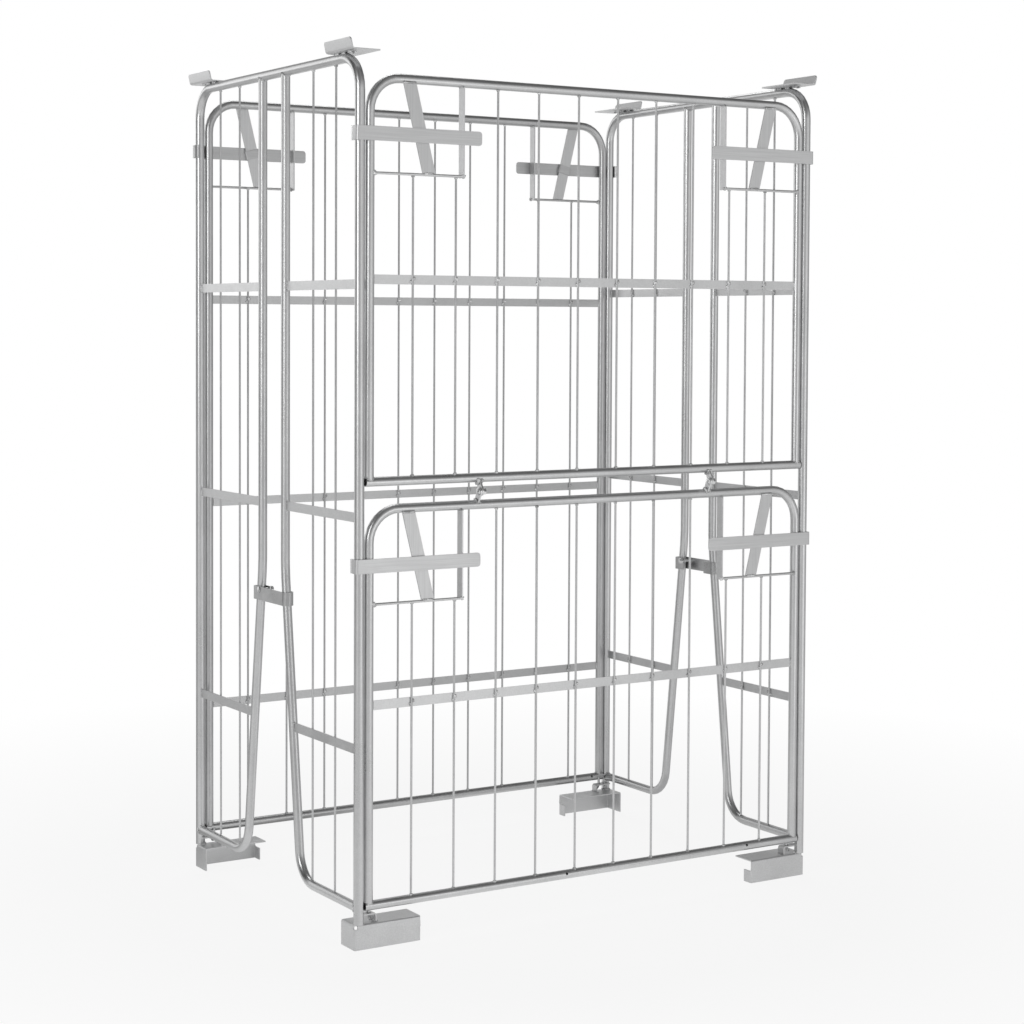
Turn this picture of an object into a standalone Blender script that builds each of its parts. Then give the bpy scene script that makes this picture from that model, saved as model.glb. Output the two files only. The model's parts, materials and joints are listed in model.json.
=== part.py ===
"""Wire-mesh pallet collar: two end frames, a rear gate and a two-part front gate in zinced steel.

Metres, +Z up. X runs along the long side of the pallet, the front gate faces -Y, and z = 0 is the
lower edge of the foot skirts. Heights count from the pallet's deck, which lies at DECK.
A corner is given by side (-1 left, +1 right) and face (-1 front, +1 rear).
"""
import math

import bmesh
import bpy
from mathutils import Matrix, Vector

# Pallet that the collar stands on
PALLET_HALF_X = 0.600
PALLET_HALF_Y = 0.400

# Clearances
SEAT_GAP = 0.0003           # between pieces that touch
KEEPER_PLAY = 0.0005        # keeper loop round its guide
PIN_PLAY = 0.0005           # hook pin in its slot

# Corner posts and end hoops
POST_R = 0.01065
POST_INSET_X = 0.0082       # post centre inside the pallet's end
POST_INSET_Y = 0.0015       # post centre inside the pallet's long edge
HOOP_HEIGHT = 1.8012        # centre of the hoop's top rail
HOOP_BEND = 0.068

# Legs of the end frames
LEG_R = 0.010
LEG_SPREAD = 0.057          # half the distance between the legs at the top
LEG_KNEE = 0.710            # height at which they start to spread
LEG_SLOPE = 0.116
LEG_KNEE_BEND = 0.300
LEG_FOOT_BEND = 0.068
END_RAIL_HEIGHT = 0.038

# Mesh of the gates and end frames
WIRE_R = 0.0025
WIRE_PITCH = 0.104
WIRE_OFFSET = 0.003         # wire centre beside the tubes' centre plane
WELD_SINK = 0.0005          # depth to which welded pieces run into each other
END_WIRE_FIRST = 0.184
BAR_WIDTH = 0.020
BAR_GAUGE = 0.003
END_BAR_FIRST = 0.368
END_BAR_PITCH = 0.4825
END_BAR_COUNT = 3

# Clamp round the legs
CLAMP_HEIGHT = 0.646
CLAMP_WIDTH = 0.030
CLAMP_GAUGE = 0.003
CLAMP_FRONT_RETURN = 0.025  # inner end, past the front leg's centre
CLAMP_REAR_RETURN = 0.022   # inner end, past the rear leg's centre
CLAMP_BOLT_R = 0.004
CLAMP_BOLT_RISE = 0.008     # above the middle of the strap

# Feet
SHEET = 0.003
SKIRT_DROP = 0.050
FOOT_LENGTH = 0.157
FOOT_DEPTH = 0.060
FOOT_FOLD = 0.0025
FOOT_NOTCH = 0.009
RETURN_TAB_DEPTH = 0.025
RETURN_TAB_DROP = 0.022     # top edge of the return tab below the deck

# Stirrups that hold the hook pins
STIRRUP_REACH = 0.0433      # cheek from the post centre
STIRRUP_WIDTH = 0.020
STIRRUP_INSET = 0.012       # middle of the strap inside the gate's plane
STIRRUP_FOLD = 0.0045
SLOT_HEIGHT = 0.0205
SLOT_HALF_LENGTH = 0.0069

# Stacking tabs
TAB_LENGTH = 0.118
TAB_WIDTH = 0.064
TAB_OVERHANG_X = 0.0205     # fold line outside the post centre
TAB_OVERHANG_Y = 0.0075     # tab's outer end past the post centre
TAB_LIP = 0.0235
TAB_LEAN = math.radians(13)
TAB_FOLD = 0.005
TAB_CORNER = 0.007

# Gates
GATE_TUBE_R = 0.010
GATE_WALL = 0.002
GATE_SIDE_GAP = 0.00215     # side tube to post
GATE_BEND = 0.070
GATE_LOW = 0.040            # bottom rails of the lower and rear gates
LOWER_GATE_TOP = 0.8672
HINGE_PITCH = 0.0574        # lower gate's top rail to upper gate's bottom rail
UPPER_GATE_DROP = 0.0422    # top rail below the end frames' top rails
REAR_GATE_DROP = 0.0282
LOWER_BAR_RISE = 0.4187     # bar above the lower gate's bottom rail
UPPER_BAR_DROP = 0.4157     # bar below the upper gate's top rail
REAR_BAR_RISE = 0.299       # lowest bar above the rear gate's bottom rail
REAR_BAR_DROP = 0.466       # highest bar below its top rail
REAR_BAR_COUNT = 3
VENT_R = 0.003
VENT_TILT = math.radians(20)
VENT_FIRST = 0.151          # from the right end of the lower gate's rail
VENT_PITCH = 0.504
REAR_VENT = 0.038

# Hook pins under the gates
PIN_R = 0.0035
PIN_INSET = 0.007           # inside the side tube's centre
PIN_SETBACK = 0.011         # inside the gate's plane
PIN_TIP = 0.014
PIN_LEAN = math.radians(34)
PIN_BEND = 0.006

# Latch windows and guides
WINDOW_WIRES = 2
STRIP_TO_WIRE = 0.016
STRIP_DEPTH = 0.020
WINDOW_DROP = 0.197         # rod centre below the top rail
ROD_R = 0.003
ROD_OUT = 0.007
GUIDE_WIDTH = 0.030
GUIDE_GAUGE = 0.003
GUIDE_SLOPE = 0.25
GUIDE_INSET = 0.0905        # upper end inside the side tube's centre
GUIDE_OUT = 0.0075          # guide's middle outside the gate's plane

# Latches
LATCH_WIDTH = 0.030
LATCH_GAUGE = 0.003
LATCH_DROP = 0.1165         # below the gate's top rail
LATCH_OVERHANG = 0.042      # inner end past the window strip
LATCH_END_ROUND = 0.007
LATCH_FOLD = 0.0045
HOOK_TURN = 0.002           # where the hook starts to close in, behind the post centre
HOOK_CLOSE = 0.0035         # how far it closes in behind the post
HOOK_DEPTH = 0.012          # its tip's bend, behind the post centre
HOOK_TIP = 0.0032           # tip's run outwards and back
HOOK_TIP_BEND = 0.0024
KEEPER_GAUGE = 0.002
KEEPER_LENGTH = 0.021
KEEPER_SUNK = 0.001         # how far its ends sink into the latch bar

# Hinges between the two front gates
HINGE_X = 0.307
HINGE_OUT = 0.0145
KNUCKLE_R = 0.009
LUG_GAUGE = 0.004
LUG_ROOT_R = 0.007
BOLT_R = 0.004
BOLT_HEAD_R = 0.0072
BOLT_HEAD = 0.0045
BOLT_END = 0.002            # shank past the nut
DOME_CROWN = 0.6            # flatter crown of a bolt head, as a share of its radius
DOME_SHOULDER = 0.45        # height of the dome's rim, as a share of the head's height
NUT_R = 0.0075
NUT_HEIGHT = 0.0065

# Fineness of round shapes
TUBE_SIDES = 16
ROD_SIDES = 12
WIRE_SIDES = 8
SEAT_SIDES = 32
BEND_STEP = math.radians(12)
FOLD_STEP = math.radians(30)
CORNER_SEGMENTS = 4
FOLD_SEGMENTS = 3
SHARP = math.radians(35)

DECK = SKIRT_DROP
POST_X = PALLET_HALF_X - POST_INSET_X
POST_Y = PALLET_HALF_Y - POST_INSET_Y
SIDE_X = POST_X - POST_R - GATE_SIDE_GAP - GATE_TUBE_R
RAIL_END = SIDE_X + GATE_TUBE_R
TUBE_SEAT = GATE_TUBE_R + SEAT_GAP
POST_SEAT = POST_R + SEAT_GAP
BAR_OFFSET = WIRE_OFFSET - WIRE_R + WELD_SINK - BAR_GAUGE / 2
WIRES_PER_HALF = int((SIDE_X - TUBE_SEAT - WIRE_R) / WIRE_PITCH + 0.5)
STRIP_X = (WIRES_PER_HALF - WINDOW_WIRES + 0.5) * WIRE_PITCH - STRIP_TO_WIRE
UPPER_GATE_TOP = HOOP_HEIGHT - UPPER_GATE_DROP
REAR_GATE_TOP = HOOP_HEIGHT - REAR_GATE_DROP
HINGE_HEIGHT = LOWER_GATE_TOP + HINGE_PITCH / 2
LEG_CLEAR = math.hypot(1, LEG_SLOPE) * LEG_R + SEAT_GAP

PLANE_XZ = Matrix.Rotation(math.radians(90), 4, "X")
PLANE_YZ = Matrix(((0, 0, 1), (1, 0, 0), (0, 1, 0))).to_4x4()

SIDES = {"left": -1, "right": 1}
FACES = {"front": -1, "rear": 1}


def clear_scene():
    for obj in list(bpy.data.objects):
        bpy.data.objects.remove(obj, do_unlink=True)


def new_collection(name):
    collection = bpy.data.collections.new(name)
    bpy.context.scene.collection.children.link(collection)
    return collection


clear_scene()
PARTS = new_collection("pallet_collar")
CUTTERS = new_collection("pallet_collar_cutters")


def zinc(name, grey=0.56, roughness=0.45):
    """Zinced steel, lighter on bright wire and duller on the hot-dipped sheet."""
    material = bpy.data.materials.new(name + "_zinc")
    material.use_nodes = True
    shader = material.node_tree.nodes["Principled BSDF"]
    shader.inputs["Base Color"].default_value = (grey, grey * 1.01, grey * 1.02, 1)
    shader.inputs["Roughness"].default_value = roughness
    shader.inputs["Metallic"].default_value = 0.9
    return material


def add(name, data, **finish):
    piece = bpy.data.objects.new(name, data)
    data.materials.append(zinc(name, **finish))
    PARTS.objects.link(piece)
    return piece


def set_aside(name, mesh):
    """Keeps a cutter, or a part of a welded piece, out of the model."""
    tool = bpy.data.objects.new(name, mesh)
    CUTTERS.objects.link(tool)
    tool.hide_render = True
    tool.display_type = "WIRE"
    return tool


def round_off(mesh):
    mesh.shade_smooth()
    mesh.set_sharp_from_angle(angle=SHARP)


def as_mesh(curve_piece):
    """The same piece as one closed mesh, so that it can be cut or joined."""
    name = curve_piece.name
    place = curve_piece.matrix_basis.copy()
    curve = curve_piece.data
    finish = curve.materials[0]
    evaluated = curve_piece.evaluated_get(bpy.context.evaluated_depsgraph_get())
    mesh = bpy.data.meshes.new_from_object(evaluated)
    bpy.data.objects.remove(curve_piece, do_unlink=True)
    bpy.data.curves.remove(curve)
    bm = bmesh.new()
    bm.from_mesh(mesh)
    bmesh.ops.remove_doubles(bm, verts=bm.verts, dist=0.00001)
    bmesh.ops.recalc_face_normals(bm, faces=bm.faces)
    bm.to_mesh(mesh)
    bm.free()
    round_off(mesh)
    mesh.materials.clear()
    mesh.materials.append(finish)
    piece = bpy.data.objects.new(name, mesh)
    piece.matrix_world = place
    PARTS.objects.link(piece)
    return piece


def boolean(piece, operation, *tools):
    for tool in tools:
        step = piece.modifiers.new(tool.name, "BOOLEAN")
        step.operation = operation
        step.solver = "EXACT"
        step.object = tool
    return piece


def bent(corners, radii, step=BEND_STEP):
    """A path of straight runs through the corners, with an arc of its own radius at each bend."""
    path = [corners[0]]
    for before, corner, after, radius in zip(corners, corners[1:], corners[2:], radii):
        incoming = (corner - before).normalized()
        outgoing = (after - corner).normalized()
        turn = incoming.angle(outgoing)
        inward = (outgoing - incoming).normalized()
        centre = corner + inward * radius / math.cos(turn / 2)
        start = corner - incoming * radius * math.tan(turn / 2)
        axis = incoming.cross(outgoing)
        steps = max(1, round(turn / step))
        for index in range(steps + 1):
            path.append(centre + Matrix.Rotation(turn * index / steps, 3, axis) @ (start - centre))
    path.append(corners[-1])
    return path


def circle(centre, radius, sides):
    turns = [2 * math.pi * index / sides for index in range(sides)]
    return [centre + Vector((math.cos(turn), math.sin(turn))) * radius for turn in turns]


def spline_through(curve, points, closed=False):
    spline = curve.splines.new("POLY")
    spline.points.add(len(points) - 1)
    for knot, point in zip(spline.points, points):
        knot.co = (*point.to_3d(), 1)
    spline.use_cyclic_u = closed


def tubes(name, paths, radius, sides=TUBE_SIDES, **finish):
    """Round bar or closed-ended tube along each path, all in one piece's node."""
    curve = bpy.data.curves.new(name, "CURVE")
    curve.dimensions = "3D"
    curve.bevel_depth = radius
    curve.bevel_resolution = (sides - 4) // 2
    curve.use_fill_caps = True
    for path in paths:
        spline_through(curve, path)
    return add(name, curve, **finish)


def plate(name, outlines, gauge, frame, **finish):
    """A flat plate whose outlines lie in the local XY plane of frame."""
    curve = bpy.data.curves.new(name, "CURVE")
    curve.dimensions = "2D"
    curve.fill_mode = "BOTH"
    curve.extrude = gauge / 2
    for outline in outlines:
        spline_through(curve, outline, closed=True)
    piece = add(name, curve, **finish)
    piece.matrix_world = frame
    return piece


def box_mesh(name, spans):
    """Square-edged bars, each between two opposite corners."""
    bm = bmesh.new()
    for low, high in spans:
        size = [abs(b - a) for a, b in zip(low, high)]
        middle = Matrix.Translation([(a + b) / 2 for a, b in zip(low, high)])
        bmesh.ops.create_cube(bm, size=1, matrix=middle @ Matrix.Diagonal((*size, 1)))
    mesh = bpy.data.meshes.new(name)
    bm.to_mesh(mesh)
    bm.free()
    return mesh


def rods_mesh(name, lines, radius, sides):
    """Straight round bars, each between the two ends of its line."""
    bm = bmesh.new()
    for start, end in lines:
        run = end - start
        turn = run.to_track_quat("Z", "Y").to_matrix().to_4x4()
        frame = Matrix.Translation((start + end) / 2) @ turn
        size = {"radius1": radius, "radius2": radius, "depth": run.length}
        bmesh.ops.create_cone(bm, cap_ends=True, segments=sides, matrix=frame, **size)
    mesh = bpy.data.meshes.new(name)
    bm.to_mesh(mesh)
    bm.free()
    round_off(mesh)
    return mesh


def rod_tool(name, start, end, radius, sides=SEAT_SIDES):
    return set_aside(name, rods_mesh(name, [(start, end)], radius, sides))


def ribbon_mesh(name, path, width, rounded_end=None, rounding=0.0):
    """The middle surface of a strap on edge, along a path in the local XY plane."""
    bm = bmesh.new()
    corners = [bm.verts.new((point.x, point.y, -width / 2)) for point in path]
    runs = [bm.edges.new(pair) for pair in zip(corners, corners[1:])]
    raised = bmesh.ops.extrude_edge_only(bm, edges=runs)
    tops = [item for item in raised["geom"] if isinstance(item, bmesh.types.BMVert)]
    bmesh.ops.translate(bm, vec=(0, 0, width), verts=tops)
    if rounded_end is not None:
        tip = path[rounded_end]
        ends = [vert for vert in bm.verts if (vert.co.xy - tip.xy).length < SEAT_GAP]
        bmesh.ops.bevel(bm, geom=ends, offset=rounding, segments=CORNER_SEGMENTS, profile=0.5, affect="VERTICES")
    mesh = bpy.data.meshes.new(name)
    bm.to_mesh(mesh)
    bm.free()
    return mesh


def give_gauge(piece, gauge):
    shell = piece.modifiers.new("gauge", "SOLIDIFY")
    shell.thickness = gauge
    shell.offset = 0
    shell.use_even_offset = True
    return piece


def strap(name, path, width, gauge, frame, rounded_end=None, rounding=0.0, **finish):
    piece = add(name, ribbon_mesh(name, path, width, rounded_end, rounding), **finish)
    piece.matrix_world = frame
    return give_gauge(piece, gauge)


def leg_offset(height):
    """Distance of a leg's centre from the middle of its end frame."""
    return LEG_SPREAD + LEG_SLOPE * max(0.0, LEG_KNEE - height)


def end_rail_centre(across):
    """Height of the bottom rail's centre line, which rises into the leg's bend."""
    toe = leg_offset(END_RAIL_HEIGHT)
    turn = math.pi / 2 - math.atan(LEG_SLOPE)
    bend_end = toe + LEG_FOOT_BEND * math.tan(turn / 2)
    inside = max(0.0, bend_end - across)
    return END_RAIL_HEIGHT + LEG_FOOT_BEND - math.sqrt(LEG_FOOT_BEND**2 - inside**2)


def end_hoop(name, side):
    x = side * POST_X
    low = DECK + SHEET + SEAT_GAP
    high = DECK + HOOP_HEIGHT
    corners = [
        Vector((x, -POST_Y, low)),
        Vector((x, -POST_Y, high)),
        Vector((x, POST_Y, high)),
        Vector((x, POST_Y, low)),
    ]
    return tubes(name, [bent(corners, [HOOP_BEND, HOOP_BEND])], POST_R)


def leg(name, side, face, rail_seat, post_seat):
    x = side * POST_X
    low = DECK + END_RAIL_HEIGHT
    corners = [
        Vector((x, face * LEG_SPREAD, DECK + HOOP_HEIGHT)),
        Vector((x, face * LEG_SPREAD, DECK + LEG_KNEE)),
        Vector((x, face * leg_offset(END_RAIL_HEIGHT), low)),
        Vector((x, face * POST_Y, low)),
    ]
    path = bent(corners, [LEG_KNEE_BEND, LEG_FOOT_BEND])
    return boolean(as_mesh(tubes(name, [path], LEG_R)), "DIFFERENCE", rail_seat, post_seat)


def welded_mesh(name, bars, wires):
    """Flat bars with the wires welded across them, as one panel."""
    panel = add(name, box_mesh(name, bars), grey=0.62, roughness=0.4)
    rods = set_aside(name + "_wires", rods_mesh(name + "_wires", wires, WIRE_R, WIRE_SIDES))
    return boolean(panel, "UNION", rods)


def end_mesh(name, side, face):
    """The mesh between a corner post and its leg: bars outside, wires inside."""
    wire_x = side * (POST_X - WIRE_OFFSET)
    high = DECK + HOOP_HEIGHT - POST_SEAT
    wires = []
    across = END_WIRE_FIRST
    while across < POST_Y - HOOP_BEND:
        low = DECK + end_rail_centre(across - WIRE_R) + LEG_R + SEAT_GAP
        wires.append((Vector((wire_x, face * across, low)), Vector((wire_x, face * across, high))))
        across += WIRE_PITCH
    bar_x = side * (POST_X - BAR_OFFSET)
    bars = []
    for index in range(END_BAR_COUNT):
        height = END_BAR_FIRST + index * END_BAR_PITCH
        inner = leg_offset(height - BAR_WIDTH / 2) + LEG_CLEAR
        low = (bar_x - BAR_GAUGE / 2, face * inner, DECK + height - BAR_WIDTH / 2)
        high_corner = (bar_x + BAR_GAUGE / 2, face * (POST_Y - POST_SEAT), DECK + height + BAR_WIDTH / 2)
        bars.append((low, high_corner))
    return welded_mesh(name, bars, wires)


def clamp_bolt_across():
    """Y of the clamp bolt, just in front of the rear leg."""
    bolt_top = CLAMP_HEIGHT + CLAMP_BOLT_RISE + CLAMP_BOLT_R
    return leg_offset(bolt_top) - LEG_CLEAR - CLAMP_BOLT_R


def leg_clamp(name, side):
    """A strap outside both legs, whose ends turn round them and back along the inside."""
    reach = leg_offset(CLAMP_HEIGHT - CLAMP_WIDTH / 2) + LEG_CLEAR + CLAMP_GAUGE / 2
    half = LEG_R + SEAT_GAP + CLAMP_GAUGE / 2
    front_end = CLAMP_FRONT_RETURN - leg_offset(CLAMP_HEIGHT)
    rear_end = leg_offset(CLAMP_HEIGHT) - CLAMP_REAR_RETURN
    corners = [
        Vector((-side * half, front_end, 0)),
        Vector((-side * half, -reach, 0)),
        Vector((side * half, -reach, 0)),
        Vector((side * half, reach, 0)),
        Vector((-side * half, reach, 0)),
        Vector((-side * half, rear_end, 0)),
    ]
    round_leg = half - SEAT_GAP
    path = bent(corners, [round_leg, round_leg, CLAMP_GAUGE, CLAMP_GAUGE], FOLD_STEP / 2)
    frame = Matrix.Translation((side * POST_X, 0, DECK + CLAMP_HEIGHT))
    clamp = strap(name, path, CLAMP_WIDTH, CLAMP_GAUGE, frame, grey=0.52)
    bolt = Vector((side * POST_X, clamp_bolt_across(), DECK + CLAMP_HEIGHT + CLAMP_BOLT_RISE))
    through = Vector((2 * half, 0, 0))
    bore = rod_tool(name + "_bore", bolt - through, bolt + through, CLAMP_BOLT_R + SEAT_GAP, TUBE_SIDES)
    return boolean(clamp, "DIFFERENCE", bore)


def turned(name, profile, frame, **finish):
    """A round piece from its profile, given as (radius, height) pairs from top to bottom."""
    bm = bmesh.new()
    rim = [bm.verts.new((radius, 0, height)) for radius, height in profile]
    for pair in zip(rim, rim[1:]):
        bm.edges.new(pair)
    mesh = bpy.data.meshes.new(name)
    bm.to_mesh(mesh)
    bm.free()
    piece = add(name, mesh, **finish)
    lathe = piece.modifiers.new("lathe", "SCREW")
    lathe.steps = TUBE_SIDES
    lathe.render_steps = TUBE_SIDES
    lathe.use_merge_vertices = True
    lathe.merge_threshold = 0.00005
    lathe.use_smooth_shade = True
    piece.matrix_world = frame
    return piece


def bolt_profile(shank_r, head_r, head, length):
    """Domed head on top of a plain shank that starts at height 0 and runs down."""
    shoulder = [(head_r, 0), (shank_r, 0), (shank_r, -length), (0, -length)]
    crown = (head_r * DOME_CROWN, head * (1 - (1 - DOME_SHOULDER) * DOME_CROWN**2))
    return [(0, head), crown, (head_r, head * DOME_SHOULDER)] + shoulder


def hex_tool(name, frame, height):
    """A hexagonal nut body, centred on its own axis."""
    outline = circle(Vector((0, 0)), NUT_R, 6)
    return hide_tool(as_mesh(plate(name, [outline], height, frame)))


def clamp_bolt(name, side):
    """The bolt in front of the rear leg, with its domed head outside and its nut inside."""
    half = LEG_R + SEAT_GAP + CLAMP_GAUGE
    across = clamp_bolt_across()
    height = DECK + CLAMP_HEIGHT + CLAMP_BOLT_RISE
    head = Matrix.Translation((side * (POST_X + half + SEAT_GAP), across, height))
    frame = head @ Matrix.Rotation(side * math.radians(90), 4, "Y")
    length = 2 * half + 2 * SEAT_GAP + NUT_HEIGHT + BOLT_END
    bolt = turned(name, bolt_profile(CLAMP_BOLT_R, BOLT_HEAD_R, BOLT_HEAD / 2, length), frame)
    nut_x = side * (POST_X - half - SEAT_GAP - NUT_HEIGHT / 2)
    nut_frame = Matrix.Translation((nut_x, across, height)) @ PLANE_YZ
    return boolean(bolt, "UNION", hex_tool(name + "_nut", nut_frame, NUT_HEIGHT))


def foot(name, side, face):
    """Folded sheet: top plate on the deck, a skirt on each outer side and a tab behind the block."""
    outer_x = PALLET_HALF_X + SHEET / 2
    outer_y = PALLET_HALF_Y + SHEET / 2
    inner_x = PALLET_HALF_X + SHEET - FOOT_LENGTH
    inner_y = PALLET_HALF_Y + SHEET - FOOT_DEPTH
    top = DECK + SHEET / 2
    tab_top = DECK - RETURN_TAB_DROP
    size = (outer_x - inner_x, outer_y - inner_y, top)
    middle = Matrix.Translation(((outer_x + inner_x) / 2, (outer_y + inner_y) / 2, top / 2))
    bm = bmesh.new()
    bmesh.ops.create_cube(bm, size=1, matrix=middle @ Matrix.Diagonal((*size, 1)))
    bm.normal_update()
    open_sides = [item for item in bm.faces if min(item.normal) < -0.5]
    bmesh.ops.delete(bm, geom=open_sides, context="FACES")
    skirt = [item for item in bm.faces if item.normal.y > 0.5]
    around = skirt + list(skirt[0].edges) + list(skirt[0].verts)
    bmesh.ops.bisect_plane(bm, geom=around, plane_co=(0, 0, tab_top), plane_no=(0, 0, 1))
    for edge in list(bm.edges):
        ends = [vert.co for vert in edge.verts]
        at_inner_end = all(abs(end.x - inner_x) < SEAT_GAP and end.y > inner_y + SHEET for end in ends)
        if at_inner_end and max(end.z for end in ends) < tab_top + SEAT_GAP:
            folded = bmesh.ops.extrude_edge_only(bm, edges=[edge])
            ends = [item for item in folded["geom"] if isinstance(item, bmesh.types.BMVert)]
            bmesh.ops.translate(bm, vec=(0, -RETURN_TAB_DEPTH, 0), verts=ends)
    bmesh.ops.scale(bm, vec=(side, face, 1), verts=bm.verts)
    bmesh.ops.recalc_face_normals(bm, faces=bm.faces)
    mesh = bpy.data.meshes.new(name)
    bm.to_mesh(mesh)
    bm.free()
    piece = add(name, mesh, grey=0.5, roughness=0.5)
    fold = piece.modifiers.new("folds", "BEVEL")
    fold.width = FOOT_FOLD
    fold.segments = FOLD_SEGMENTS
    fold.limit_method = "ANGLE"
    give_gauge(piece, SHEET)
    far = Vector((side * (outer_x + SHEET), face * (outer_y + SHEET), DECK + 2 * SHEET))
    near = far - Vector((side * FOOT_NOTCH, face * FOOT_NOTCH, FOOT_NOTCH + SHEET))
    notch = set_aside(name + "_notch", box_mesh(name + "_notch", [(near, far)]))
    return boolean(piece, "DIFFERENCE", notch)


def stirrup(name, side, face, post_seat):
    """A strap beside the post: a cheek up from the foot and a slotted top that meets the post."""
    cheek = side * (POST_X - STIRRUP_REACH)
    slot_z = DECK + SLOT_HEIGHT
    corners = [
        Vector((cheek, DECK + SHEET + SEAT_GAP, 0)),
        Vector((cheek, slot_z, 0)),
        Vector((side * POST_X, slot_z, 0)),
    ]
    y = face * (POST_Y - STIRRUP_INSET)
    frame = Matrix.Translation((0, y, 0)) @ PLANE_XZ
    path = bent(corners, [STIRRUP_FOLD], FOLD_STEP)
    piece = strap(name, path, STIRRUP_WIDTH, SHEET, frame, grey=0.5)
    pin_x = side * (SIDE_X - PIN_INSET)
    pin_y = face * (POST_Y - PIN_SETBACK)
    half_width = PIN_R + PIN_PLAY
    run = Vector((0, SLOT_HALF_LENGTH - half_width, 0))
    ends = [Vector((pin_x, pin_y, slot_z)) + run, Vector((pin_x, pin_y, slot_z)) - run]
    outline = slot_outline(ends[0].xy, ends[1].xy, half_width)
    cut = plate(name + "_slot", [outline], 2 * STIRRUP_FOLD, Matrix.Translation((0, 0, slot_z)))
    return boolean(piece, "DIFFERENCE", post_seat, hide_tool(as_mesh(cut)))


def slot_outline(first, second, radius, sides=TUBE_SIDES):
    """A round-ended outline round two centres."""
    along = (first - second).normalized()
    heading = math.atan2(along.y, along.x)
    outline = []
    for centre, start in ((first, heading - math.pi / 2), (second, heading + math.pi / 2)):
        for index in range(sides // 2 + 1):
            turn = start + 2 * math.pi * index / sides
            outline.append(centre + Vector((math.cos(turn), math.sin(turn))) * radius)
    return outline


def hide_tool(piece):
    """Moves a finished piece over to the cutters."""
    PARTS.objects.unlink(piece)
    CUTTERS.objects.link(piece)
    piece.hide_render = True
    piece.display_type = "WIRE"
    return piece


def stacking_tab(name, side, face):
    """A plate on the hoop's top rail with a lip that leans outwards."""
    base = DECK + HOOP_HEIGHT + POST_SEAT + SHEET / 2
    fold = POST_X + TAB_OVERHANG_X
    lean = Vector((math.sin(TAB_LEAN), math.cos(TAB_LEAN))) * TAB_LIP
    corners = [
        Vector((side * (fold - TAB_WIDTH), base, 0)),
        Vector((side * fold, base, 0)),
        Vector((side * (fold + lean.x), base + lean.y, 0)),
    ]
    y = face * (POST_Y + TAB_OVERHANG_Y - TAB_LENGTH / 2)
    frame = Matrix.Translation((0, y, 0)) @ PLANE_XZ
    path = bent(corners, [TAB_FOLD], FOLD_STEP)
    return strap(name, path, TAB_LENGTH, SHEET, frame, -1, TAB_CORNER, grey=0.6)


def gate_hoop(name, face, low, high, rail_seat):
    """One bent tube: both side tubes and the top rail, coped onto the bottom rail."""
    y = face * POST_Y
    corners = [
        Vector((-SIDE_X, y, DECK + low)),
        Vector((-SIDE_X, y, DECK + high)),
        Vector((SIDE_X, y, DECK + high)),
        Vector((SIDE_X, y, DECK + low)),
    ]
    hoop = as_mesh(tubes(name, [bent(corners, [GATE_BEND, GATE_BEND])], GATE_TUBE_R))
    return boolean(hoop, "DIFFERENCE", rail_seat)


def rail_line(face, height, end):
    y = face * POST_Y
    return Vector((-end, y, DECK + height)), Vector((end, y, DECK + height))


def hook_pin(name, side, face, low):
    """A pin on the inner flank of the bottom rail, bent outwards below the stirrup's slot."""
    pivot = Vector((side * (SIDE_X - PIN_INSET), face * (POST_Y - PIN_SETBACK), DECK + SLOT_HEIGHT))
    top = Vector((pivot.x, pivot.y, DECK + low))
    outward = Vector((0, face * math.sin(PIN_LEAN), -math.cos(PIN_LEAN)))
    path = bent([top, pivot, pivot + outward * PIN_TIP], [PIN_BEND])
    return hide_tool(as_mesh(tubes(name, [path], PIN_R, ROD_SIDES)))


def gate_bottom_rail(name, face, height, vents, pinned):
    """An open-ended tube with holes that let the zinc run out, and its hook pins welded on."""
    start, end = rail_line(face, height, RAIL_END)
    rail = as_mesh(tubes(name, [[start, end]], GATE_TUBE_R))
    if pinned:
        for where, side in SIDES.items():
            boolean(rail, "UNION", hook_pin(f"{name}_{where}_pin", side, face, height))
    past = Vector((GATE_TUBE_R, 0, 0))
    boolean(rail, "DIFFERENCE", rod_tool(name + "_bore", start - past, end + past, GATE_TUBE_R - GATE_WALL))
    facing = Vector((0, -math.cos(VENT_TILT), math.sin(VENT_TILT)))
    for index, place in enumerate(vents):
        centre = end - Vector((place, 0, 0))
        mouth = centre + facing * (GATE_TUBE_R + GATE_WALL)
        boolean(rail, "DIFFERENCE", rod_tool(f"{name}_vent_{index}", centre, mouth, VENT_R, TUBE_SIDES))
    return rail


def gate_mesh(name, face, low, high, bar_heights):
    """The wires and flat bars of a gate, with the outer wires cut short below the windows."""
    wire_y = face * POST_Y - WIRE_OFFSET
    bottom = DECK + low + TUBE_SEAT
    full = DECK + high - TUBE_SEAT
    short = DECK + high - WINDOW_DROP - ROD_R - SEAT_GAP
    wires = []
    for side in SIDES.values():
        for index in range(WIRES_PER_HALF):
            x = side * (index + 0.5) * WIRE_PITCH
            top = short if abs(x) > STRIP_X else full
            wires.append((Vector((x, wire_y, bottom)), Vector((x, wire_y, top))))
    bar_y = face * POST_Y - BAR_OFFSET
    end = SIDE_X - TUBE_SEAT
    bars = []
    for height in bar_heights:
        low_corner = (-end, bar_y - BAR_GAUGE / 2, DECK + height - BAR_WIDTH / 2)
        bars.append((low_corner, (end, bar_y + BAR_GAUGE / 2, DECK + height + BAR_WIDTH / 2)))
    return welded_mesh(name, bars, wires)


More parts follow.
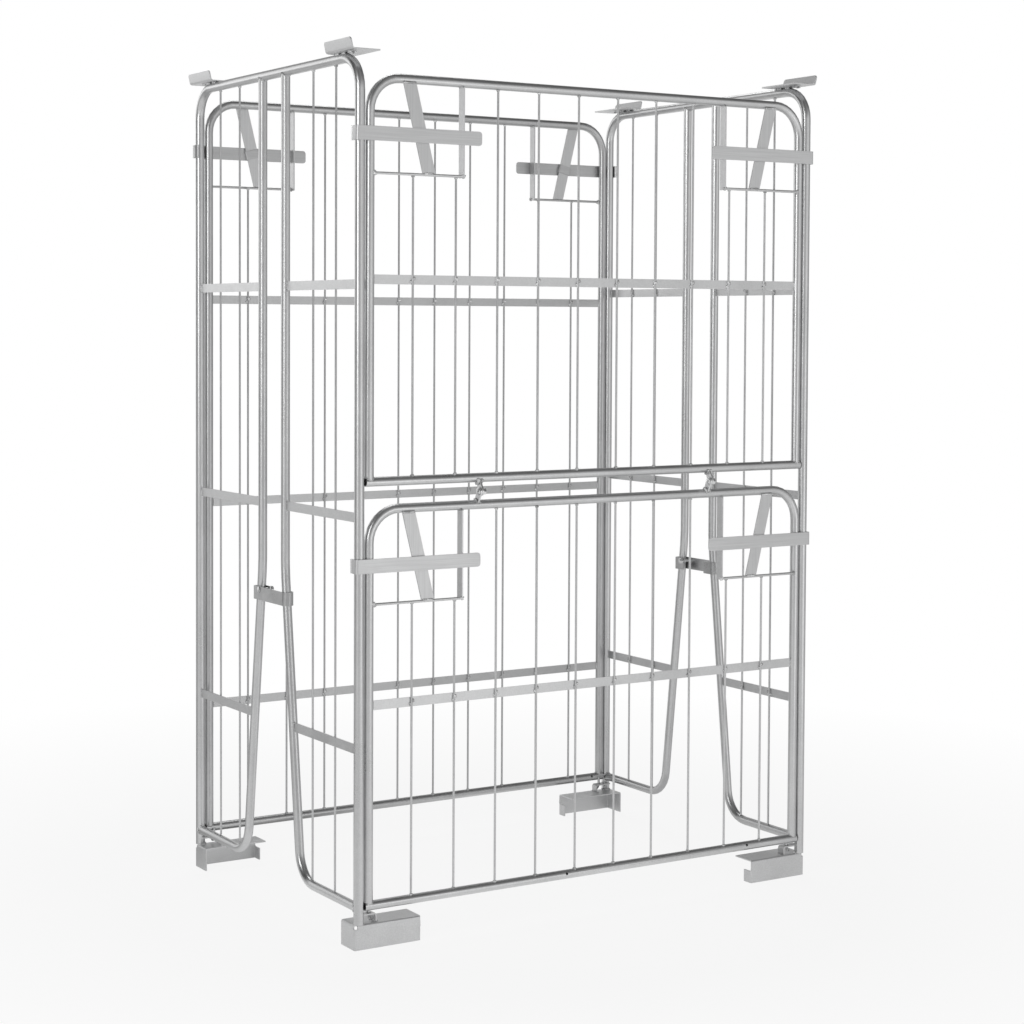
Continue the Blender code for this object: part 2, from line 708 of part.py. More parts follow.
def latch_window(name, side, face, high):
    """A strip under the top rail, welded to the rod that closes the window below."""
    rod_z = DECK + high - WINDOW_DROP
    half = BAR_GAUGE / 2
    low = (side * (STRIP_X - half), face * POST_Y - STRIP_DEPTH / 2, rod_z - ROD_R)
    top = (side * (STRIP_X + half), face * POST_Y + STRIP_DEPTH / 2, DECK + high - TUBE_SEAT)
    strip = add(name, box_mesh(name, [(low, top)]))
    tube_reach = math.sqrt(TUBE_SEAT**2 - (ROD_OUT - ROD_R) ** 2)
    y = face * (POST_Y + ROD_OUT)
    start = Vector((side * STRIP_X, y, rod_z))
    end = Vector((side * (SIDE_X - tube_reach), y, rod_z))
    return boolean(strip, "UNION", rod_tool(name + "_rod", start, end, ROD_R, ROD_SIDES))


def guide_x(drop):
    """Middle of a latch guide, at a distance below the gate's top rail."""
    return SIDE_X - GUIDE_INSET - GUIDE_SLOPE * (drop - GATE_TUBE_R)


def latch_guide(name, side, face, high):
    """A flat bar across the window, leaning towards the corner."""
    inner_face = GUIDE_OUT - GUIDE_GAUGE / 2
    top = math.sqrt(TUBE_SEAT**2 - inner_face**2)
    bottom = WINDOW_DROP - ROD_R - SEAT_GAP
    half = GUIDE_WIDTH / 2 * math.hypot(1, GUIDE_SLOPE)
    corners = ((top, -half), (top, half), (bottom, half), (bottom, -half))
    outline = [Vector((side * (guide_x(drop) + shift), -drop)) for drop, shift in corners]
    frame = Matrix.Translation((0, face * (POST_Y + GUIDE_OUT), DECK + high)) @ PLANE_XZ
    return plate(name, [outline], GUIDE_GAUGE, frame)


def keeper(name, side, face, high):
    """The loop on the latch's back that goes round the guide."""
    half = GUIDE_WIDTH / 2 + KEEPER_PLAY + KEEPER_GAUGE / 2
    back = GUIDE_OUT - GUIDE_GAUGE / 2 - KEEPER_PLAY - KEEPER_GAUGE / 2
    bar = POST_SEAT + KEEPER_SUNK
    corners = [
        Vector((-half, face * bar, 0)),
        Vector((-half, face * back, 0)),
        Vector((half, face * back, 0)),
        Vector((half, face * bar, 0)),
    ]
    path = bent(corners, [KEEPER_GAUGE, KEEPER_GAUGE], FOLD_STEP)
    loop = set_aside(name, ribbon_mesh(name, path, KEEPER_LENGTH))
    place = (side * guide_x(LATCH_DROP), face * POST_Y, DECK + high - LATCH_DROP)
    lean = side * math.atan(GUIDE_SLOPE)
    loop.matrix_world = Matrix.Translation(place) @ Matrix.Rotation(lean, 4, "Y")
    return give_gauge(loop, KEEPER_GAUGE)


def latch(name, side, face, high):
    """A flat bar across the window, cupped round the post, with its keeper round the guide."""
    inner = STRIP_X - LATCH_OVERHANG
    hook = POST_X + POST_SEAT + LATCH_GAUGE / 2
    out = POST_SEAT + LATCH_GAUGE / 2
    closed = hook - HOOK_CLOSE
    corners = [
        Vector((side * inner, face * (POST_Y + out), 0)),
        Vector((side * hook, face * (POST_Y + out), 0)),
        Vector((side * hook, face * (POST_Y - HOOK_TURN), 0)),
        Vector((side * closed, face * (POST_Y - HOOK_DEPTH), 0)),
        Vector((side * (closed + HOOK_TIP), face * (POST_Y - HOOK_DEPTH - HOOK_TIP), 0)),
    ]
    path = bent(corners, [LATCH_FOLD, LATCH_FOLD, HOOK_TIP_BEND], FOLD_STEP)
    frame = Matrix.Translation((0, 0, DECK + high - LATCH_DROP))
    bar = strap(name, path, LATCH_WIDTH, LATCH_GAUGE, frame, 0, LATCH_END_ROUND, grey=0.52)
    return boolean(bar, "UNION", keeper(name + "_keeper", side, face, high))


def lug_outline(rail_height):
    """A teardrop from the knuckle to the rail, in Y and Z about the hinge axis."""
    root = Vector((HINGE_OUT, rail_height - HINGE_HEIGHT))
    root -= root.normalized() * (GATE_TUBE_R - LUG_ROOT_R)
    heading = math.atan2(root.y, root.x)
    spread = math.acos((KNUCKLE_R - LUG_ROOT_R) / root.length)
    outline = []
    steps = TUBE_SIDES // 2
    for centre, radius, start, sweep in (
        (Vector((0, 0)), KNUCKLE_R, heading + spread, 2 * math.pi - 2 * spread),
        (root, LUG_ROOT_R, heading - spread, 2 * spread),
    ):
        for index in range(steps + 1):
            turn = start + sweep * index / steps
            outline.append(centre + Vector((math.cos(turn), math.sin(turn))) * radius)
    return outline


def hinge_lug(name, x, rail_height, rail_seat):
    """One gate's lug at a hinge, bored for the bolt and coped onto the rail."""
    bore = circle(Vector((0, 0)), BOLT_R + SEAT_GAP, TUBE_SIDES)
    frame = Matrix.Translation((x, -POST_Y - HINGE_OUT, DECK + HINGE_HEIGHT)) @ PLANE_YZ
    lug = as_mesh(plate(name, [lug_outline(rail_height), bore], LUG_GAUGE, frame, grey=0.5))
    return boolean(lug, "DIFFERENCE", rail_seat)


def hinge_bolt(name, x):
    """The bolt through both lugs at x, with its domed head on the left and its nut on the right."""
    half = LUG_GAUGE + 1.5 * SEAT_GAP
    axis = Vector((0, -POST_Y - HINGE_OUT, DECK + HINGE_HEIGHT))
    head = Matrix.Translation(axis + Vector((x - half, 0, 0)))
    frame = head @ Matrix.Rotation(math.radians(-90), 4, "Y")
    length = 2 * half + NUT_HEIGHT + BOLT_END
    bolt = turned(name, bolt_profile(BOLT_R, BOLT_HEAD_R, BOLT_HEAD, length), frame)
    nut_frame = Matrix.Translation(axis + Vector((x + half + NUT_HEIGHT / 2, 0, 0))) @ PLANE_YZ
    return boolean(bolt, "UNION", hex_tool(name + "_nut", nut_frame, NUT_HEIGHT))


def end_frame(end, side):
    x = side * POST_X
    top = Vector((x, 0, DECK + HOOP_HEIGHT))
    across = Vector((0, POST_Y, 0))
    rail_seat = rod_tool(end + "_rail_seat", top - across, top + across, POST_SEAT)
    end_hoop(f"{end}_end_hoop", side)
    leg_clamp(f"{end}_leg_clamp", side)
    clamp_bolt(f"{end}_clamp_bolt", side)
    for where, face in FACES.items():
        corner = f"{end}_{where}"
        foot_of_post = Vector((x, face * POST_Y, 0))
        shoulder = foot_of_post + Vector((0, 0, top.z / 2))
        post_seat = rod_tool(corner + "_post_seat", foot_of_post, shoulder, POST_SEAT)
        leg(corner + "_leg", side, face, rail_seat, post_seat)
        end_mesh(corner + "_end_mesh", side, face)
        foot(corner + "_foot", side, face)
        stirrup(corner + "_stirrup", side, face, post_seat)
        stacking_tab(corner + "_stacking_tab", side, face)


def gate(name, face, low, high, bar_heights, vents=(), pinned=True):
    """The frame, mesh and latches that all three gates share."""
    rail_seat = rod_tool(name + "_rail_seat", *rail_line(face, low, POST_X), TUBE_SEAT)
    gate_hoop(f"{name}_gate_hoop", face, low, high, rail_seat)
    gate_bottom_rail(f"{name}_gate_bottom_rail", face, low, vents, pinned)
    gate_mesh(f"{name}_gate_mesh", face, low, high, bar_heights)
    for end, side in SIDES.items():
        latch_window(f"{name}_{end}_latch_window", side, face, high)
        latch_guide(f"{name}_{end}_latch_guide", side, face, high)
        latch(f"{name}_{end}_latch", side, face, high)
    return rail_seat


def build():
    for end, side in SIDES.items():
        end_frame(end, side)

    lowest, highest = GATE_LOW + REAR_BAR_RISE, REAR_GATE_TOP - REAR_BAR_DROP
    step = (highest - lowest) / (REAR_BAR_COUNT - 1)
    rear_bars = [lowest + index * step for index in range(REAR_BAR_COUNT)]
    gate("rear", FACES["rear"], GATE_LOW, REAR_GATE_TOP, rear_bars, [REAR_VENT])

    front = FACES["front"]
    lower_bar = GATE_LOW + LOWER_BAR_RISE
    gate("lower", front, GATE_LOW, LOWER_GATE_TOP, [lower_bar], [VENT_FIRST, VENT_FIRST + VENT_PITCH])
    lower_seat = rod_tool("lower_top_seat", *rail_line(front, LOWER_GATE_TOP, POST_X), TUBE_SEAT)

    upper_low = LOWER_GATE_TOP + HINGE_PITCH
    upper_bar = UPPER_GATE_TOP - UPPER_BAR_DROP
    upper_seat = gate("upper", front, upper_low, UPPER_GATE_TOP, [upper_bar], pinned=False)

    beside = (LUG_GAUGE + SEAT_GAP) / 2
    for end, side in SIDES.items():
        x = side * HINGE_X
        hinge_lug(f"lower_{end}_hinge_lug", x - beside, LOWER_GATE_TOP, lower_seat)
        hinge_lug(f"upper_{end}_hinge_lug", x + beside, upper_low, upper_seat)
        hinge_bolt(f"{end}_hinge_bolt", x)


build()
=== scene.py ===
"""Zinced pallet collar: materials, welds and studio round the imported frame.

Metres, +Z up. X runs along the long side, the front gates face -Y, and z = 0 is the lower edge of
the foot skirts. A corner is given by side (-1 left, +1 right) and face (-1 front, +1 rear).
"""
import json
import math
from collections import namedtuple

import bmesh
import bpy
from mathutils import Matrix, Vector, noise

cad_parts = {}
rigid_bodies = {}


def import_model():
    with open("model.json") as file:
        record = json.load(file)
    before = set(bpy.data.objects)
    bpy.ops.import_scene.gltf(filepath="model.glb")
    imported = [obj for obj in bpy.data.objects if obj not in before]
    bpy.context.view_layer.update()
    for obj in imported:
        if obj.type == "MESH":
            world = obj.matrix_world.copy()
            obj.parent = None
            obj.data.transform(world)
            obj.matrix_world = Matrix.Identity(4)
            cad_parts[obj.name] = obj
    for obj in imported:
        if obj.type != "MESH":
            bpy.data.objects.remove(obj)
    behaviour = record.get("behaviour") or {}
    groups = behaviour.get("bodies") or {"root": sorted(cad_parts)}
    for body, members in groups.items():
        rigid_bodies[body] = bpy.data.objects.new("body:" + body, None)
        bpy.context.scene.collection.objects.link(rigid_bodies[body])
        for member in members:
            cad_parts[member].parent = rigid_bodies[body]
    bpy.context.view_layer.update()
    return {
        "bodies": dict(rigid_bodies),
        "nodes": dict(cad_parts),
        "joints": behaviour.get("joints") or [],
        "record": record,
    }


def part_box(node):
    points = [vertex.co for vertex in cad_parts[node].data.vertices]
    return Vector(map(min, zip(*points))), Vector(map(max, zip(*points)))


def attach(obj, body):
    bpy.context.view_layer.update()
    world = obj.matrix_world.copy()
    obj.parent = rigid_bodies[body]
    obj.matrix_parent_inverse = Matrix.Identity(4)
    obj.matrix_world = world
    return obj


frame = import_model()

SIDES = {"left": -1, "right": 1}
FACES = {"front": -1, "rear": 1}
GATES = {"rear": 1, "lower": -1, "upper": -1}

# Sizes that the nodes' boxes don't give
POST_R = 0.01065
TUBE_R = 0.010
WIRE_PITCH = 0.104
WIRE_OFFSET = 0.003         # wire centre beside the tubes' centre plane
ROD_R = 0.003
ROD_OUT = 0.007             # window rod's centre outside the gate's plane
STRAP_GAUGE = 0.003
LEG_SPREAD = 0.057          # half the distance between the legs at the top
LEG_SLOPE = 0.116
LEG_KNEE = 0.760            # height at which the legs start to spread
FOOT_NOTCH = 0.009
BAR_OUT = 0.0005            # end bars' middle outside the hoop's plane
END_WIRES = (0.184, 0.288)
END_BARS = (0.418, 0.9005, 1.383)
GATE_BARS = {"rear": (0.389, 0.873, 1.357), "lower": (0.5087,), "upper": (1.3933,)}
GATE_WIRES = 5              # on each half of a gate
WINDOW_WIRES = 2            # of these, the ones that end at the latch window

# Form of the weld metal
WELD_SEED = 3               # of the lumps' dents, so that each run makes the same ones
RIPPLE = 0.0035             # length of a bead's ripple
RIPPLE_DEPTH = 0.16
UNEVEN = (0.25, 140)        # a bead's slow swelling, and how closely it follows
BEAD_END = 0.45             # share of the radius left at a bead's ends
BEAD_SIDES = 8
BEAD_STEP = 0.0012
LUMP_DETAIL = 2
LUMP_ROUGH = (0.35, 330)    # dents in a lump, as a share of its size, and how closely they follow
RING_POINTS = 28
SADDLE_POINTS = 36
SINK = 0.0006               # how far a bead's middle lies off the surface that it is on

# Radius of each bead
TUBE_BEAD = 0.0021
GATE_BEAD = 0.0016
SHEET_BEAD = 0.0024
BAR_BEAD = 0.0015
STIRRUP_BEAD = 0.0016
STIRRUP_TACK = 0.0014
TAB_BEAD = 0.0022
STRIP_BEAD = 0.0017
GUIDE_BEADS = (0.0023, 0.0022)

# Ends of the flat bars
BAR_SEAM_HALF = 0.008
BAR_SEAM_OUT = 0.0012       # outside an end bar's middle
BAR_CORNER = 0.0095         # height of the lumps above and below the bar's middle
GATE_SEAM_SINK = 0.0004
GATE_SEAM_FRONT = 0.0014    # in front of the gate's plane

# Lumps, each as its place from where pieces meet, as (across, along, up), and its size
WIRE_LUMP = (0.0040, 0.0034, 0.0046)
END_CROSSING = (
    ((-0.0006, 0.0022, 0.002), WIRE_LUMP),
    ((0.001, -0.0022, -0.004), (0.003, 0.0028, 0.0036)),
)
END_WIRE_TOP = (((0, 0, -0.0008), (0.004, 0.0044, 0.003)),)
END_BAR_CORNER = (((0.001, 0, 0), (0.002, 0.0022, 0.003)),)
GATE_CROSSING = (
    ((0.0022, -0.0004, 0.003), WIRE_LUMP),
    ((-0.0024, 0.0012, -0.004), (0.003, 0.0024, 0.0036)),
)
GATE_WIRE_FOOT = (((0, 0, 0.0006), (0.0044, 0.004, 0.003)),)
GATE_WIRE_TOP = (((0, 0, -0.0008), (0.0042, 0.004, 0.0028)),)
ROD_END = (
    ((-0.001, 0, 0), (0.0046, 0.0042, 0.0058)),
    ((-0.004, 0, -0.0012), (0.0036, 0.0036, 0.0036)),
)
ROD_CROSSING = (
    ((-0.0022, 0, 0.0012), (0.0030, 0.0038, 0.0026)),
    ((0.0024, 0, 0.0022), (0.0030, 0.0038, 0.0026)),
    ((-0.0006, 0, -0.0024), (0.0030, 0.0038, 0.0026)),
)
GUIDE_FOOT = (((0, 0, -0.001), (0.0048, 0.0034, 0.0030)),)

# Stirrup: its seams on the foot, and the tack on the post
STIRRUP_SEAM_OUT = 0.0022
STIRRUP_SEAM_INSET = 0.002
STIRRUP_SEAM_RISE = 0.0008
STIRRUP_TACK_HALF = 0.004
STIRRUP_TACK_DROP = 0.0002

# Stacking tab: short tacks on both flanks of the top rail
TAB_TACKS = (-0.040, -0.012, 0.016, 0.040)
TAB_TACK_HALF = 0.007
TAB_TACK_OUT = 0.0055
TAB_TACK_DROP = 0.0012
TAB_TACK_END = 0.030        # no tack closer than this to the post

# Latch window's strip and the guide across it
STRIP_SEAM_OUT = 0.0018
STRIP_SEAM_HALF = 0.008
STRIP_SEAM_RISE = 0.0002
GUIDE_WIDTH = 0.031
GUIDE_TOP_OUT = 0.0016
GUIDE_TOP_RISE = 0.0002
GUIDE_FOOT_OUT = 0.0012
GUIDE_FOOT_INSET = 0.004
GUIDE_FOOT_DROP = 0.0006
GUIDE_LUMP_INSET = 0.009
GUIDE_LUMP_OUT = 0.002

# Hinge lugs: fillets on the rail, with a row of lumps on each
LUG_FILLET = (-100, 85)     # where it starts and how far it runs round the rail, in degrees
LUG_FILLET_POINTS = 12
LUG_FILLET_OUT = 0.0026     # beside the lug's middle
LUG_FILLET_REACH = 1.06     # as a share of the rail's radius
LUG_LUMPS = 5
LUG_LUMP = 0.0028
LUG_LUMP_SWELL = (0.0016, 90)
LUG_LUMP_OUT = 0.0014
LUG_LUMP_HEIGHT = 1.2

# Zinc coat: scale of each layer, and the share of the fine grain in its relief
CLOUD_SCALE = 9.0
GRAIN_SCALE = 420.0
SWELL_SCALE = 70.0
GRAIN_SHARE = 0.12
GRAIN_TONE = (0.93, 1.05)
CRYSTAL_DULL = 0.4
COAT_DEPTH = 0.0003
ZINC_BLUE = 0.01

# Weld metal: scale of its ripples and of the soot between them
WELD_SCALE = 260.0
SOOT_SCALE = 55.0
SOOT_EDGE = (0.35, 0.62)
SOOT_TONE = (0.55, 1.1)
RIPPLE_TONE = (0.75, 1.1)
WELD_ROUGH = (0.32, 0.16)
WELD_METALLIC = 0.45
WELD_DEPTH = 0.0004
WELD_RELIEF = 0.7

# Dressing of the nodes
MERGE = 0.00002
EASED_EDGE = 0.0005
EASED_FROM = math.radians(50)
SPLIT_FROM = math.radians(38)
EASED = ("latch_guide", "foot", "tab", "stirrup", "leg_clamp", "lug")

# Camera
CAMERA_AT = (-2.6624, -4.2344, 1.3053)
CAMERA_YAW = math.radians(31.442)
CAMERA_PITCH = math.radians(2.199)
CAMERA_ROLL = math.radians(0.233)
LENS = 74.39
SHIFT = (0.0378, -0.1059)

# Brightness of the room by heading in degrees, with 0 along +X and 90 along +Y: the camera stands at
# -121, the pale backdrop at 59
ROOM_HEADING = (
    (-180, 0.50), (-168, 0.70), (-151, 0.80), (-136, 0.50), (-121, 0.38), (-103, 0.55), (-86, 0.90),
    (-64, 1.0), (-54, 0.62), (-46, 0.55), (-12, 0.46), (12, 0.34), (34, 0.60), (59, 1.0), (90, 0.95),
    (120, 0.92), (131, 0.65), (142, 0.12), (157, 0.10), (166, 0.35), (180, 0.50),
)
# And by height, from the horizon at 0 to overhead at 1
ROOM_HEIGHT = ((0.0, 1.0), (0.12, 0.95), (0.32, 0.55), (0.5, 0.33), (0.85, 0.26))
# Brightness of that room's floor by heading, as the metal shows it
GROUND_HEADING = (
    (-180, 0.82), (-165, 0.78), (-150, 0.72), (-131, 0.86), (-90, 0.88), (-76, 0.90), (-63, 0.84),
    (-50, 0.80), (-37, 0.70), (-15, 0.62), (0, 0.52), (34, 0.60), (59, 0.85), (84, 0.70), (104, 0.62),
    (116, 0.52), (126, 0.36), (138, 0.36), (150, 0.62), (166, 0.84), (180, 0.86),
)
GROUND_EDGE = (0.08, 0.17)  # how far below the horizon the wall begins and ends turning into floor

FLOOR_REACH = 2.8
FLOOR_FADE = (0.9, 2.5)     # distance at which it begins and ends running out into white
FLOOR_GLOW = 0.88           # share of plain white near the object
FLOOR_TONES = (0.93, 0.95)
FLOOR_CLOUDS = 3.0
FLOOR_ROUGH = 0.9
FLOOR_DROP = 0.0005         # below the feet, so that faces don't coincide
FLOOR_SIDES = 64

# Lamps: name, place, aim, width and height, watts
LAMPS = (
    ("key", (-4.4, -1.9, 2.3), (0, 0, 0.9), (1.6, 2.6), 36),
    ("front", (1.2, -3.6, 0.5), (-0.6, -0.4, 0.5), (1.2, 1.4), 3.5),
    ("fill", (3.6, -3.4, 2.6), (0, 0, 0.9), (2.6, 2.6), 5),
    ("back", (-2.4, 4.2, 2.6), (0, 0, 0.9), (2.6, 2.6), 12),
    ("top", (1.0, 3.0, 5.5), (0, 0, 0), (2.4, 2.4), 40),
)

WHITE = (1, 1, 1, 1)


class Nodes:
    """A node tree, built node by node."""

    def __init__(self, tree):
        self.tree = tree

    def node(self, kind, **settings):
        made = self.tree.nodes.new(kind)
        for key, value in settings.items():
            setattr(made, key, value)
        return made

    def link(self, source, target):
        self.tree.links.new(source, target)

    def feed(self, socket, value):
        """Links a socket to another's output, or sets it to a plain value."""
        if isinstance(value, (int, float, tuple)):
            socket.default_value = value
        else:
            self.link(value, socket)

    def spread(self, source, low, high, start=0.3, end=0.7):
        """Maps the range from start to end, for a texture its middle one, to values from low to high."""
        ramp = self.node("ShaderNodeMapRange")
        ramp.inputs["From Min"].default_value = start
        ramp.inputs["From Max"].default_value = end
        ramp.inputs["To Min"].default_value = low
        ramp.inputs["To Max"].default_value = high
        self.link(source, ramp.inputs["Value"])
        return ramp.outputs["Result"]

    def blend(self, kind, factor, first, second):
        mix = self.node("ShaderNodeMix", data_type="RGBA", blend_type=kind)
        self.feed(mix.inputs["Factor"], factor)
        self.feed(mix.inputs["A"], first)
        self.feed(mix.inputs["B"], second)
        return mix.outputs["Result"]

    def maths(self, operation, first, second):
        step = self.node("ShaderNodeMath", operation=operation)
        self.feed(step.inputs[0], first)
        self.feed(step.inputs[1], second)
        return step.outputs["Value"]

    def split(self, source):
        parts = self.node("ShaderNodeSeparateXYZ")
        self.link(source, parts.inputs["Vector"])
        return parts.outputs

    def ramp(self, source, stops):
        """Greys between the stops, each a position and a level."""
        ramp = self.node("ShaderNodeValToRGB")
        points = ramp.color_ramp.elements
        while len(points) < len(stops):
            points.new(0.5)
        for point, (position, level) in zip(points, stops):
            point.position = position
            point.color = (level, level, level, 1)
        self.link(source, ramp.inputs["Fac"])
        return ramp.outputs["Color"]

    def heading_level(self, place, stops):
        """Grey by the heading of a direction or a place seen from the middle."""
        heading = self.maths("ARCTAN2", place["Y"], place["X"])
        turn = self.spread(heading, 0.0, 1.0, -math.pi, math.pi)
        return self.ramp(turn, [((degrees + 180) / 360, level) for degrees, level in stops])

    def mix_shaders(self, factor, first, second, target):
        mix = self.node("ShaderNodeMixShader")
        self.link(factor, mix.inputs["Fac"])
        self.link(first, mix.inputs[1])
        self.link(second, mix.inputs[2])
        self.link(mix.outputs["Shader"], target)


class Material(Nodes):
    """A procedural material on the Principled shader."""

    def __init__(self, name):
        self.material = bpy.data.materials.new(name)
        self.material.use_nodes = True
        super().__init__(self.material.node_tree)
        self.shader = self.tree.nodes["Principled BSDF"]
        self.place = self.node("ShaderNodeTexCoord").outputs["Object"]

    def surface(self, **sources):
        """Feeds the shader's sockets, by name with _ for a space."""
        for name, source in sources.items():
            self.feed(self.shader.inputs[name.replace("_", " ")], source)

    def noise(self, scale, detail=3.0, stretch=(1, 1, 1)):
        mapping = self.node("ShaderNodeMapping")
        mapping.inputs["Scale"].default_value = stretch
        self.link(self.place, mapping.inputs["Vector"])
        texture = self.node("ShaderNodeTexNoise")
        texture.inputs["Scale"].default_value = scale
        texture.inputs["Detail"].default_value = detail
        self.link(mapping.outputs["Vector"], texture.inputs["Vector"])
        return texture.outputs["Fac"]

    def spangle(self, scale):
        """Flat-shaded crystals of the zinc coat."""
        texture = self.node("ShaderNodeTexVoronoi")
        texture.inputs["Scale"].default_value = scale
        self.link(self.place, texture.inputs["Vector"])
        value = self.node("ShaderNodeSeparateColor")
        self.link(texture.outputs["Color"], value.inputs["Color"])
        return value.outputs["Red"]

    def bump(self, height, distance, strength):
        bump = self.node("ShaderNodeBump")
        bump.inputs["Distance"].default_value = distance
        bump.inputs["Strength"].default_value = strength
        self.link(height, bump.inputs["Height"])
        self.link(bump.outputs["Normal"], self.shader.inputs["Normal"])


def grey(level):
    return (level, level * (1 + ZINC_BLUE / 2), level * (1 + ZINC_BLUE), 1)


def zinc(name, level, spread, rough, metallic, spangle, crystals, relief=0.3, streak=(1, 1, 1)):
    """Zinc coat: cloudy grey, faint crystals, fine grain, and dull patches where it has weathered."""
    coat = Material(name)
    cloud = coat.spread(coat.noise(CLOUD_SCALE, 4.0, streak), 0.0, 1.0)
    crystal = coat.spangle(spangle)
    grain = coat.noise(GRAIN_SCALE, 2.0, streak)
    clouded = coat.maths("MULTIPLY", cloud, 1 - crystals)
    tone = coat.maths("ADD", clouded, coat.maths("MULTIPLY", crystal, crystals))
    colour = coat.blend("MIX", tone, grey(level * (1 - spread)), grey(level * (1 + spread)))
    colour = coat.blend("MULTIPLY", 1.0, colour, coat.spread(grain, *GRAIN_TONE))
    dull_crystal = coat.maths("MULTIPLY", crystal, CRYSTAL_DULL)
    dull = coat.maths("ADD", dull_crystal, coat.maths("MULTIPLY", cloud, 1 - CRYSTAL_DULL))
    coat.surface(Base_Color=colour, Roughness=coat.spread(dull, *rough, 0.0, 1.0), Metallic=metallic)
    swell = coat.noise(SWELL_SCALE, 2.0, streak)
    fine = coat.maths("MULTIPLY", grain, GRAIN_SHARE)
    height = coat.maths("ADD", fine, coat.maths("MULTIPLY", swell, 1 - GRAIN_SHARE))
    coat.bump(height, COAT_DEPTH, relief)
    return coat.material


def rolled(name, level, along):
    """Zinced flat bar, with faint rolling lines along it."""
    stretch = tuple(0.02 if axis == along else 1 for axis in "xyz")
    return zinc(name, level, 0.05, (0.36, 0.5), 0.8, 45.0, 0.3, 0.2, stretch)


def weld_metal(name, level):
    """Zinced weld: brighter on its ripples, sooty in its dips."""
    weld = Material(name)
    lump = weld.noise(WELD_SCALE, 4.0)
    soot = weld.spread(weld.noise(SOOT_SCALE, 2.0), 0.0, 1.0, *SOOT_EDGE)
    dark, bright = [grey(level * share) for share in SOOT_TONE]
    sooty = weld.blend("MIX", soot, dark, bright)
    colour = weld.blend("MULTIPLY", 1.0, sooty, weld.spread(lump, *RIPPLE_TONE))
    weld.surface(Base_Color=colour, Roughness=weld.spread(lump, *WELD_ROUGH), Metallic=WELD_METALLIC)
    weld.bump(lump, WELD_DEPTH, WELD_RELIEF)
    return weld.material


# Finishes: level, spread of its tone, roughness, metallic, crystals' scale and share, relief
TUBE_ZINC = zinc("tube_zinc", 0.63, 0.07, (0.27, 0.31), 0.95, 110.0, 0.25, 0.10)
# Painted shade: a darker copy of the tube finish for the rear gate, standing in for the weaker light toward
# the back
TUBE_ZINC_IN_PAINTED_SHADE = zinc("rear_tube_zinc", 0.55, 0.07, (0.28, 0.33), 0.95, 110.0, 0.25, 0.10)
CLAMP_ZINC = zinc("clamp_zinc", 0.50, 0.30, (0.24, 0.36), 0.95, 70.0, 0.20, 0.40)
MESH_ZINC = zinc("mesh_zinc", 0.68, 0.08, (0.28, 0.42), 0.8, 70.0, 0.25)
# Painted shade: a darker copy of the mesh finish for the rear gate, standing in for the weaker light toward
# the back
MESH_ZINC_IN_PAINTED_SHADE = zinc("rear_mesh_zinc", 0.58, 0.08, (0.30, 0.44), 0.8, 70.0, 0.25)
SHEET_ZINC = zinc("sheet_zinc", 0.72, 0.07, (0.34, 0.48), 0.75, 38.0, 0.4)
STRAP_ZINC = rolled("strap_zinc", 0.68, "x")
# Painted shade: a darker copy of the strap finish for the rear latch, standing in for the weaker light
# toward the back
STRAP_ZINC_IN_PAINTED_SHADE = rolled("rear_strap_zinc", 0.56, "x")
GUIDE_ZINC = rolled("guide_zinc", 0.66, "z")
BOLT_ZINC = zinc("bolt_zinc", 0.78, 0.12, (0.14, 0.26), 0.95, 150.0, 0.2)
WELD_ZINC = weld_metal("weld_zinc", 0.90)
LUG_ZINC = zinc("lug_zinc", 0.76, 0.16, (0.18, 0.34), 0.92, 160.0, 0.45, 0.5)


def finish_of(name):
    if "bolt" in name:
        return BOLT_ZINC
    if "guide" in name or "stirrup" in name:
        return GUIDE_ZINC
    if "clamp" in name:
        return CLAMP_ZINC
    # Parts of the rear gate take the darker copies of their finishes: painted shade for the light that
    # falls off toward the back
    rear = name.startswith("rear")
    if name.endswith("latch"):
        return STRAP_ZINC_IN_PAINTED_SHADE if rear else STRAP_ZINC
    if "mesh" in name or "window" in name:
        return MESH_ZINC_IN_PAINTED_SHADE if rear else MESH_ZINC
    if "lug" in name:
        return LUG_ZINC
    if "foot" in name or "tab" in name:
        return SHEET_ZINC
    return TUBE_ZINC_IN_PAINTED_SHADE if rear else TUBE_ZINC


def dress(name, node):
    """The node's own finish, with smooth round faces and, on strap and sheet, eased edges."""
    node.data.materials.clear()
    node.data.materials.append(finish_of(name))
    normals = node.data.attributes.get("custom_normal")
    if normals is not None:
        node.data.attributes.remove(normals)
    for face in node.data.polygons:
        face.use_smooth = True
    joined = node.modifiers.new("joined", "WELD")
    joined.merge_threshold = MERGE
    if name.endswith("latch") or any(word in name for word in EASED):
        ease = node.modifiers.new("eased", "BEVEL")
        ease.width = EASED_EDGE
        ease.segments = 2
        ease.limit_method = "ANGLE"
        ease.angle_limit = EASED_FROM
        ease.harden_normals = False
    edges = node.modifiers.new("edges", "EDGE_SPLIT")
    edges.split_angle = SPLIT_FROM
    edges.use_edge_sharp = False
    even = node.modifiers.new("even", "WEIGHTED_NORMAL")
    even.keep_sharp = True


for name, node in frame["nodes"].items():
    dress(name, node)


